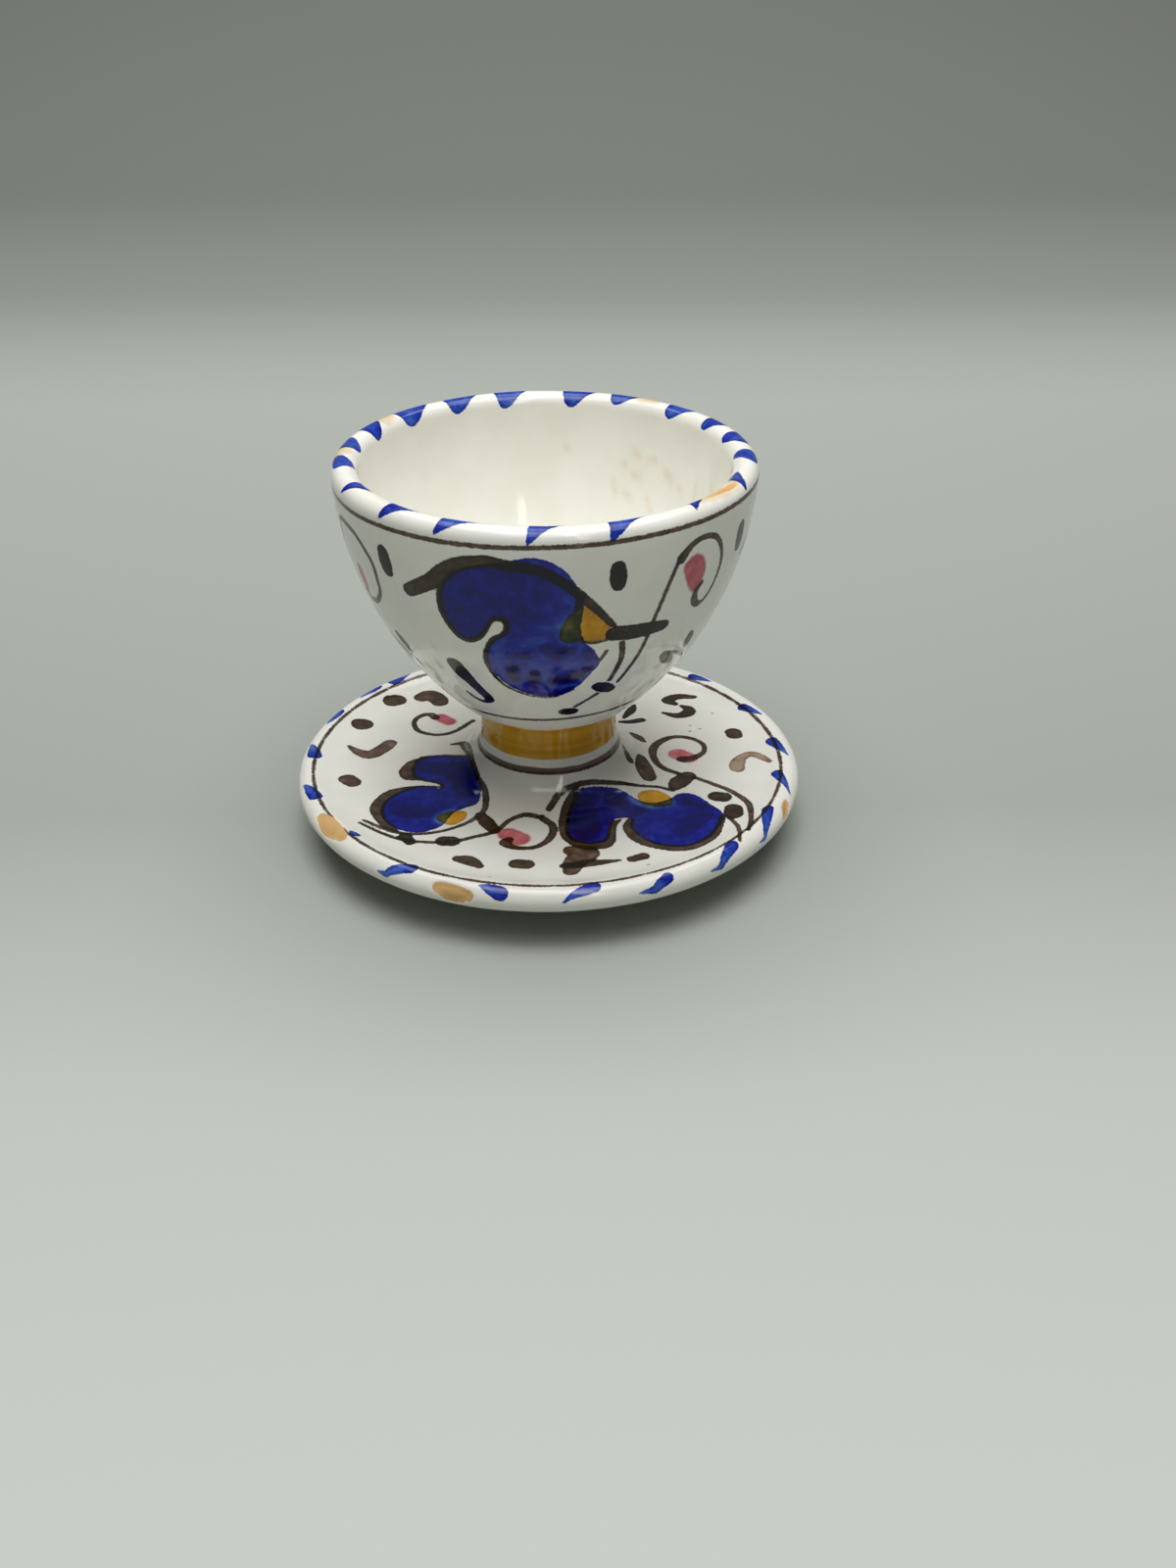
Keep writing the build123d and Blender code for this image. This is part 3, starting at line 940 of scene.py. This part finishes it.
# %% Chips and specks of the saucer
edge_chips = [
    [(-30.9, -15.9, 0.8), (-29.6, -18.2, 1.5), (-27.6, -21, 0.8)],
    [(-14.4, -32.4, 0.8), (-12.5, -33.4, 1.3), (-10.6, -34, 0.8)],
    [(32.6, -13.2, 0.5), (32.3, -14.6, 0.8), (32, -15.8, 0.4)],
]
for points in edge_chips:
    stroke(saucer_canvas, "chip", on_saucer, points, chip_load)
kiln_specks = [(21, 10.4), (22.3, 9.3), (20.8, 8.6), (24.6, 14.2), (12.6, -27.8), (-8, -30.5)]
speck_size = 0.16
speck_length = 0.3
speck_load = 0.42
for across, away in kiln_specks:
    points = [(across, away, speck_size), (across + speck_length, away, speck_size)]
    stroke(saucer_canvas, "manganese", on_saucer, points, speck_load)
saucer_canvas.store()
print("chips:", len(edge_chips), "specks:", len(kiln_specks))

# %% [markdown]
# Glaze is never quite even, and a chip is a real hollow, so both are pressed into the coat by Displace.
# A vertex group says where each acts, and both only push inwards, so that the cup keeps its measured size.

# %% Uneven glaze and chips
uneven_size = 9 * MM
uneven_depth = 0.12 * MM
chip_depth = 0.3 * MM
chip_slope = 0.25
parting_fade = 1.5
weight_levels = 20
skin_gap = coat / 7


def press_in(piece, canvas, skin, partings):
    """Press the visible skin in by a soft unevenness, and its chips by nearly the coat's thickness."""
    section = np.stack([np.hypot(canvas.points[:, 0], canvas.points[:, 1]), canvas.points[:, 2]], axis=1)
    line = np.array(skin)
    gap = np.full(len(section), np.inf)
    for place in line:
        gap = np.minimum(gap, np.linalg.norm(section - place, axis=1))
    on_skin = gap < skin_gap
    to_parting = np.min([np.abs(section[:, 1] - height) for height in partings], axis=0)
    fade = np.clip(to_parting / parting_fade, 0, 1)
    weights = {"uneven": fade * on_skin, "chip": np.clip(canvas.edge["chip"] / chip_slope, 0, 1) * on_skin}
    for name, values in weights.items():
        group = piece.vertex_groups.new(name=name)
        levels = np.round(values * weight_levels).astype(int)
        for level in range(1, weight_levels + 1):
            group.add(np.flatnonzero(levels == level).tolist(), level / weight_levels, "REPLACE")
    texture = bpy.data.textures.new("uneven_glaze", "CLOUDS")
    texture.noise_scale = uneven_size
    bpy.ops.object.select_all(action="DESELECT")
    piece.select_set(True)
    bpy.context.view_layer.objects.active = piece
    for name, depth in (("uneven", uneven_depth), ("chip", chip_depth)):
        press = piece.modifiers.new(name, "DISPLACE")
        press.strength = -depth
        press.mid_level = 0
        press.vertex_group = name
        if name == "uneven":
            press.texture = texture
            press.texture_coords = "LOCAL"
        bpy.ops.object.modifier_apply(modifier=press.name)
    print(piece.name, "pressed at", int((weights["uneven"] > 0).sum()), "points")


press_in(bowl_coat, bowl_canvas, bowl_skin, (bowl_parting,))
press_in(saucer_coat, saucer_canvas, saucer_skin, (saucer_parting, dry_line))

# %% [markdown]
# Materials are built from nodes. Colours are written as the hex values that a painter's chart would give.
# Blender calculates with linear light, so one function turns a hex value into that.

# %% Helpers for materials
def colour(code):
    """A linear colour from an sRGB hex value."""
    parts = [int(code[i : i + 2], 16) / 255 for i in (0, 2, 4)]
    linear = [part / 12.92 if part <= 0.04045 else ((part + 0.055) / 1.055) ** 2.4 for part in parts]
    return (*linear, 1)


def add_node(tree, kind, inputs=None, **settings):
    """Add a node, set it up, and give its sockets values or links."""
    node = tree.nodes.new(kind)
    for name, value in settings.items():
        setattr(node, name, value)
    for socket, value in (inputs or {}).items():
        if isinstance(value, bpy.types.NodeSocket):
            tree.links.new(value, node.inputs[socket])
        else:
            node.inputs[socket].default_value = value
    return node


def set_stops(ramp_node, stops):
    """Give a colour ramp its stops, each a place from 0 to 1 and a hex value."""
    ramp = ramp_node.color_ramp
    while len(ramp.elements) < len(stops):
        ramp.elements.new(1)
    for element, (place, code) in zip(ramp.elements, stops):
        element.position = place
        element.color = colour(code)


def new_material(name):
    """A material whose tree has nothing but the place on the object."""
    material = bpy.data.materials.new(name)
    material.use_nodes = True
    tree = material.node_tree
    tree.nodes.clear()
    place = add_node(tree, "ShaderNodeTexCoord").outputs["Object"]
    return material, tree, place


def close_tree(tree, inputs):
    """End a material's tree with its shader and its output."""
    shader = add_node(tree, "ShaderNodeBsdfPrincipled", inputs)
    add_node(tree, "ShaderNodeOutputMaterial", {"Surface": shader.outputs[0]})


print("middle grey in linear light:", round(colour("808080")[0], 3))

# %% [markdown]
# Tin glaze is an opaque white glass. It is smooth and glossy, with slow waves where it ran in the kiln
# and faint warm clouds where it lies thin on the buff clay.
# Glass has an IOR of about 1.5. It is set a little lower here, because the dark paint of the cup mirrors
# less of the pale floor than plain glass would.

# %% White of the tin glaze
white_glaze = "F5F4EC"
warm_glaze = "EFEDE2"
mottle_stops = [(0.35, white_glaze), (0.75, warm_glaze)]
mottle_size = 7 * MM
mottle_detail = 3.0
wave_size = 4.5 * MM
wave_depth = 0.3 * MM
wave_detail = 2.0
wave_strength = 0.25
glaze_gloss = 0.09
glaze_ior = 1.4


def glaze_base(tree, place):
    """White of the glaze with faint warm clouds, and the bump of its slow waves."""
    mottle = {"Vector": place, "Scale": 1 / mottle_size, "Detail": mottle_detail}
    clouds = add_node(tree, "ShaderNodeTexNoise", mottle)
    white = add_node(tree, "ShaderNodeValToRGB", {"Fac": clouds.outputs["Fac"]})
    set_stops(white, mottle_stops)
    run_down = {"Vector": place, "Scale": 1 / wave_size, "Detail": wave_detail}
    waves = add_node(tree, "ShaderNodeTexNoise", run_down)
    shape = {"Height": waves.outputs["Fac"], "Strength": wave_strength, "Distance": wave_depth}
    bump = add_node(tree, "ShaderNodeBump", shape)
    return white.outputs["Color"], bump.outputs["Normal"]


print("glaze: roughness", glaze_gloss, "and IOR", glaze_ior)

# %% [markdown]
# The pigments sink into the glaze, so they change its colour but not its gloss, and each tints the white
# below it. Cobalt is pale where it is thin and nearly navy where the brush was full; the other pigments
# behave alike. Wet colour draws to the edge of a mark as it dries, so a mark is a little darker there.
# The outline is frayed by the bristles, and the load changes along the brush.

# %% Pigments of the painter
bare_clay = "D8AE74"
clay_roughness = 0.85
pigment_stops = {
    "stain": [(0.0, "FFFDF9"), (0.3, "F3ECE1"), (0.5, "EFE0C8"), (0.8, "EACB98")],
    "cobalt": [
        (0.2, "9FB0E4"), (0.4, "5273CE"), (0.55, "2649BA"), (0.7, "0D21A4"), (0.85, "03068A"),
        (1.0, "02025E"),
    ],
    "manganese": [(0.3, "B29C88"), (0.5, "7C645C"), (0.62, "5E4A42"), (0.75, "44362A"), (1.0, "1F1813")],
    "ochre": [(0.1, "F8EAB8"), (0.3, "F2C644"), (0.55, "E0A010"), (0.8, "B98204"), (1.0, "8C6002")],
    "rose": [(0.3, "F0BFBE"), (0.7, "D9707E"), (1.0, "B04A5E")],
}
edge_blur = {"stain": 1.0, "rose": 0.3, "chip": 0.06}
usual_blur = 0.09
brush_size = 1.5 * MM
brush_detail = 6.0
brush_swing = 0.62
bristle_size = 0.35 * MM
bristle_detail = 1.0
fray_width = 0.26
pool_width = 0.5
pool_gain = 0.16


def brush_grain(tree, place, size, detail, swing):
    """Grain of one size, left by the brush, that swings evenly to both sides of zero."""
    grain = {"Vector": place, "Scale": 1 / size, "Detail": detail}
    noise = add_node(tree, "ShaderNodeTexNoise", grain)
    shift = {0: noise.outputs["Fac"], 1: swing, 2: -swing / 2}
    return add_node(tree, "ShaderNodeMath", shift, operation="MULTIPLY_ADD").outputs[0]


def tint(tree, below, cover, pigment, load):
    """Lay a pigment over what is below it."""
    shade = add_node(tree, "ShaderNodeValToRGB", {"Fac": load})
    set_stops(shade, pigment_stops[pigment])
    layers = {0: cover, 6: below, 7: shade.outputs["Color"]}
    return add_node(tree, "ShaderNodeMix", layers, data_type="RGBA", blend_type="MULTIPLY").outputs[2]


print("pigments:", ", ".join(pigment_stops))

# %% [markdown]
# The painted glaze reads both numbers of each pigment from the mesh. The edge number becomes a mask with
# a frayed border, and the load number picks the shade. Where a chip is, bare matt clay takes the place
# of everything else.

# %% Tin glaze, brush painted
def painted_glaze():
    """Glaze whose marks are read from the numbers that the canvas kept on the mesh."""
    material, tree, place = new_material("tin_glaze_brush_painted")
    painted, bump = glaze_base(tree, place)
    fray = brush_grain(tree, place, bristle_size, bristle_detail, fray_width)
    streak = brush_grain(tree, place, brush_size, brush_detail, brush_swing)
    for pigment in pigments:
        edge = add_node(tree, "ShaderNodeAttribute", attribute_name=f"{pigment}_edge").outputs["Fac"]
        frayed = add_node(tree, "ShaderNodeMath", {0: edge, 1: fray}).outputs[0]
        blur = edge_blur.get(pigment, usual_blur)
        limits = {0: frayed, 1: -blur, 2: blur}
        cover = add_node(tree, "ShaderNodeMapRange", limits, interpolation_type="SMOOTHSTEP").outputs[0]
        if pigment == "chip":
            layers = {0: cover, 6: painted, 7: colour(bare_clay)}
            painted = add_node(tree, "ShaderNodeMix", layers, data_type="RGBA").outputs[2]
            dulled = {0: cover, 3: glaze_gloss, 4: clay_roughness}
            gloss = add_node(tree, "ShaderNodeMapRange", dulled).outputs[0]
            continue
        load = add_node(tree, "ShaderNodeAttribute", attribute_name=f"{pigment}_load").outputs["Fac"]
        fall = {0: frayed, 1: 0.0, 2: pool_width, 3: pool_gain, 4: 0.0}
        pool = add_node(tree, "ShaderNodeMapRange", fall).outputs[0]
        pooled = add_node(tree, "ShaderNodeMath", {0: load, 1: pool}).outputs[0]
        streaked = add_node(tree, "ShaderNodeMath", {0: pooled, 1: streak}).outputs[0]
        painted = tint(tree, painted, cover, pigment, streaked)
    close_tree(tree, {"Base Color": painted, "Roughness": gloss, "IOR": glaze_ior, "Normal": bump})
    return material


painted_glaze_material = painted_glaze()
print("glaze nodes:", len(painted_glaze_material.node_tree.nodes))

# %% [markdown]
# The foot is ringed by a broad ochre band with streaks that follow the whirler, and by a brown line
# at its base. The CAD coat of the foot already has the right shape, so it stays and the bands are read
# from its height, which wanders a little as the hand did.

# %% Tin glaze, banded on the whirler
band_low = 13.6
band_high = 18.2
band_middle = (band_low + band_high) / 2
band_half = (band_high - band_low) / 2
line_half = 0.45
band_blur = 0.08
band_load = 0.3
band_swing = 0.4
streak_length = 14 * MM
streak_width = 0.5 * MM
streak_detail = 3.0
wander_size = 9 * MM
wander_height = 0.7


def banded_glaze():
    """Glaze with its bands drawn on the turning cup."""
    material, tree, place = new_material("tin_glaze_banded")
    painted, bump = glaze_base(tree, place)
    streak_scale = (1 / streak_length, 1 / streak_length, 1 / streak_width)
    stretched = add_node(tree, "ShaderNodeMapping", {"Vector": place, "Scale": streak_scale})
    drawn_out = {"Vector": stretched.outputs[0], "Scale": 1.0, "Detail": streak_detail}
    streaks = add_node(tree, "ShaderNodeTexNoise", drawn_out)
    swung = {0: streaks.outputs["Fac"], 1: band_swing, 2: band_load}
    load = add_node(tree, "ShaderNodeMath", swung, operation="MULTIPLY_ADD").outputs[0]
    height = add_node(tree, "ShaderNodeSeparateXYZ", {0: place}).outputs["Z"]
    level = add_node(tree, "ShaderNodeMath", {0: height, 1: 1 / MM}, operation="MULTIPLY").outputs[0]
    wander = add_node(tree, "ShaderNodeTexNoise", {"Vector": place, "Scale": 1 / wander_size})
    lifted = {0: wander.outputs["Fac"], 1: wander_height, 2: level}
    wavy = add_node(tree, "ShaderNodeMath", lifted, operation="MULTIPLY_ADD").outputs[0]
    for pigment, middle, half in (
        ("ochre", band_middle, band_half),
        ("manganese", saucer_parting, line_half),
    ):
        offset = add_node(tree, "ShaderNodeMath", {0: wavy, 1: -middle - wander_height / 2}).outputs[0]
        distance = add_node(tree, "ShaderNodeMath", {0: offset}, operation="ABSOLUTE").outputs[0]
        limits = {0: distance, 1: half + band_blur, 2: half - band_blur}
        cover = add_node(tree, "ShaderNodeMapRange", limits, interpolation_type="SMOOTHSTEP").outputs[0]
        painted = tint(tree, painted, cover, pigment, load)
    close_tree(tree, {"Base Color": painted, "Roughness": glaze_gloss, "IOR": glaze_ior, "Normal": bump})
    return material


banded_glaze_material = banded_glaze()
print("banded glaze nodes:", len(banded_glaze_material.node_tree.nodes))

# %% [markdown]
# Bare earthenware shows on the foot ring and in the chips. It is matt and buff, with a fine sandy grain.
# Slip is the same clay as a thin cream; it fires a little paler and smoother. Both hide below the glaze
# elsewhere.

# %% Earthenware and slip
grit_size = 0.4 * MM
grit_detail = 4.0
grit_share = 0.5
grit_depth = 0.05 * MM
grit_strength = 0.5
cloud_size = 6 * MM
cloud_detail = 3.0
dark_place = 0.45
pale_place = 1.0
slip_roughness = 0.8


def fired_clay(name, dark, pale, roughness):
    """Bare fired clay with cloudy colour and a sandy grain."""
    material, tree, place = new_material(name)
    sandy = {"Vector": place, "Scale": 1 / grit_size, "Detail": grit_detail}
    grit = add_node(tree, "ShaderNodeTexNoise", sandy).outputs["Fac"]
    cloudy = {"Vector": place, "Scale": 1 / cloud_size, "Detail": cloud_detail}
    clouds = add_node(tree, "ShaderNodeTexNoise", cloudy).outputs["Fac"]
    mixed = {0: grit, 1: grit_share, 2: clouds}
    blend = add_node(tree, "ShaderNodeMath", mixed, operation="MULTIPLY_ADD")
    shade = add_node(tree, "ShaderNodeValToRGB", {"Fac": blend.outputs[0]})
    set_stops(shade, [(dark_place, dark), (pale_place, pale)])
    shape = {"Height": grit, "Strength": grit_strength, "Distance": grit_depth}
    bump = add_node(tree, "ShaderNodeBump", shape)
    grain = {"Roughness": roughness, "Normal": bump.outputs["Normal"]}
    close_tree(tree, {"Base Color": shade.outputs["Color"], **grain})
    return material


earthenware = fired_clay("earthenware_turned_and_fired", "B98C54", "D6AE76", clay_roughness)
slip = fired_clay("clay_slip_fired", "C39A63", "DDBA86", slip_roughness)
print("clay materials:", earthenware.name, slip.name)

# %% [markdown]
# Every piece now gets its finish, its body and the CAD node that it stands for.
# The clay pieces, the slip joints and the coats of foot and base are right as they are, so they only
# get a material.

# %% Finish, ride and replace
for piece, node in ((bowl_coat, "bowl_glaze"), (saucer_coat, "saucer_glaze")):
    piece.data.materials.clear()
    piece.data.materials.append(painted_glaze_material)
    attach(piece, "root")
    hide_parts(node)
kept_nodes = {
    "bowl": earthenware,
    "foot": earthenware,
    "saucer": earthenware,
    "upper_slip_joint": slip,
    "lower_slip_joint": slip,
    "foot_glaze": banded_glaze_material,
    "base_glaze": banded_glaze_material,
}
for node, material in kept_nodes.items():
    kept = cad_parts[node]
    kept.data.materials.clear()
    kept.data.materials.append(material)
print("kept CAD nodes:", len(kept_nodes))

# %% [markdown]
# The floor is one sheet that curves up behind the cup, as in a small photo studio, so there is no hard
# horizon. It is a plane whose back edge is spun up through a quarter circle and then drawn up into a wall.

# %% Floor that sweeps up to a wall
floor_half_width = 1.2
floor_front = -0.9
floor_back = 0.45
sweep_radius = 0.15
sweep_steps = 24
wall_top = 0.9

bpy.ops.object.select_all(action="DESELECT")
bpy.ops.mesh.primitive_plane_add(size=1, location=(0, (floor_front + floor_back) / 2, 0))
backdrop = bpy.context.object
backdrop.name = "floor_sweep"
backdrop.scale = (2 * floor_half_width, floor_back - floor_front, 1)
bpy.ops.object.transform_apply(location=True, rotation=True, scale=True)
bpy.ops.object.mode_set(mode="EDIT")
bpy.ops.mesh.select_mode(type="EDGE")
bpy.ops.mesh.select_all(action="DESELECT")
sheet = bmesh.from_edit_mesh(backdrop.data)
for edge in sheet.edges:
    edge.select = all(vertex.co.y > floor_back - MM for vertex in edge.verts)
bmesh.update_edit_mesh(backdrop.data)
bpy.ops.mesh.spin(
    steps=sweep_steps, angle=math.pi / 2, center=(0, floor_back, sweep_radius), axis=(-1, 0, 0)
)
bpy.ops.mesh.extrude_region_move(TRANSFORM_OT_translate={"value": (0, 0, wall_top - sweep_radius)})
bpy.ops.mesh.select_all(action="SELECT")
bpy.ops.mesh.remove_doubles(threshold=merge_reach)
bpy.ops.object.mode_set(mode="OBJECT")
bpy.ops.object.shade_smooth()
print("backdrop in metres:", [round(value, 3) for value in backdrop.dimensions])

# %% [markdown]
# The sheet is matt paper of a pale green grey. Its colour holds painted shade: it is palest in front,
# darker in a painted shadow where the cup stands, and grows darker towards the wall behind and up it.

# %% Matt paper with painted shade
paper_start = -0.2
paper_end = 0.6
# Painted shade: the dark dip where the cup stands is a painted shadow, and the darker back and wall stand
# in for fading light.
paper_painted_shade_stops = [
    (0.1, "BEC3BB"), (0.17, "B6BBB4"), (0.25, "9A9F98"), (0.49, "AAAFA8"), (0.54, "A4A9A2"),
    (0.62, "8E928C"), (0.78, "81857F"), (1.0, "7E827C"),
]
paper_roughness = 0.85


def matt_paper():
    """Paper with painted shade that follows the sheet from the front edge to the top of the wall."""
    material, tree, place = new_material("matt_paper")
    parts = add_node(tree, "ShaderNodeSeparateXYZ", {0: place})
    along = add_node(tree, "ShaderNodeMath", {0: parts.outputs["Y"], 1: parts.outputs["Z"]})
    share = add_node(tree, "ShaderNodeMapRange", {0: along.outputs[0], 1: paper_start, 2: paper_end})
    shade = add_node(tree, "ShaderNodeValToRGB", {"Fac": share.outputs[0]})
    set_stops(shade, paper_painted_shade_stops)
    close_tree(tree, {"Base Color": shade.outputs["Color"], "Roughness": paper_roughness})
    return material


backdrop.data.materials.clear()
backdrop.data.materials.append(matt_paper())
print("paper stops:", len(paper_painted_shade_stops))

# %% [markdown]
# The main light is a wide soft box above and behind the cup, with an even, weak light from all round.
# That leaves the front of the bowl in gentle shade and draws one soft shadow under the front of the saucer.
# A smaller box in front of it lifts the white of the saucer, which would lie in the shade of the bowl.
# A tall strip behind the camera only shows in the gloss: it draws the bright streak inside the bowl.
# The even light is weak, but a camera or a mirroring surface that looks past the paper sees it
# as a grey wall. A box has a name, a place, a size in metres and a power in watts.

# %% Light
soft_boxes = [("back_box", (0.0, 0.12, 0.75), 0.8, 6.2), ("front_box", (0.0, -0.25, 0.75), 0.5, 2.2)]
strip_place = (0.17, -0.5, 0.62)
strip_size = (0.07, 0.8)
strip_power = 1.1
around_strength = 0.04
wall_strength = 0.25
wall_colour = "F4F6F4"
lit_place = Vector((0, 0, 45 * MM))


def area_lamp(name, place, size, power):
    """A rectangular lamp that faces the cup."""
    aim = (lit_place - Vector(place)).to_track_quat("-Z", "Y").to_euler()
    bpy.ops.object.light_add(type="AREA", location=place, rotation=aim)
    lamp = bpy.context.object
    lamp.name = name
    lamp.data.shape = "RECTANGLE"
    lamp.data.size, lamp.data.size_y = size
    lamp.data.energy = power
    return lamp


for name, place, size, power in soft_boxes:
    area_lamp(name, place, (size, size), power)
strip = area_lamp("strip", strip_place, strip_size, strip_power)
strip.visible_diffuse = False

world = bpy.data.worlds.new("even_light")
bpy.context.scene.world = world
world.use_nodes = True
world.node_tree.nodes.clear()
rays = add_node(world.node_tree, "ShaderNodeLightPath").outputs
seen = rays["Is Camera Ray"]
for ray in ("Is Glossy Ray", "Is Transmission Ray"):
    seen = add_node(world.node_tree, "ShaderNodeMath", {0: seen, 1: rays[ray]}).outputs[0]
strength = add_node(world.node_tree, "ShaderNodeMapRange", {0: seen, 3: around_strength, 4: wall_strength})
sky = {"Color": colour(wall_colour), "Strength": strength.outputs[0]}
around = add_node(world.node_tree, "ShaderNodeBackground", sky)
add_node(world.node_tree, "ShaderNodeOutputWorld", {"Surface": around.outputs[0]})
bpy.context.scene.view_settings.view_transform = "Standard"
print("soft boxes:", len(soft_boxes), "strip:", strip_power, "W, even light:", around_strength)
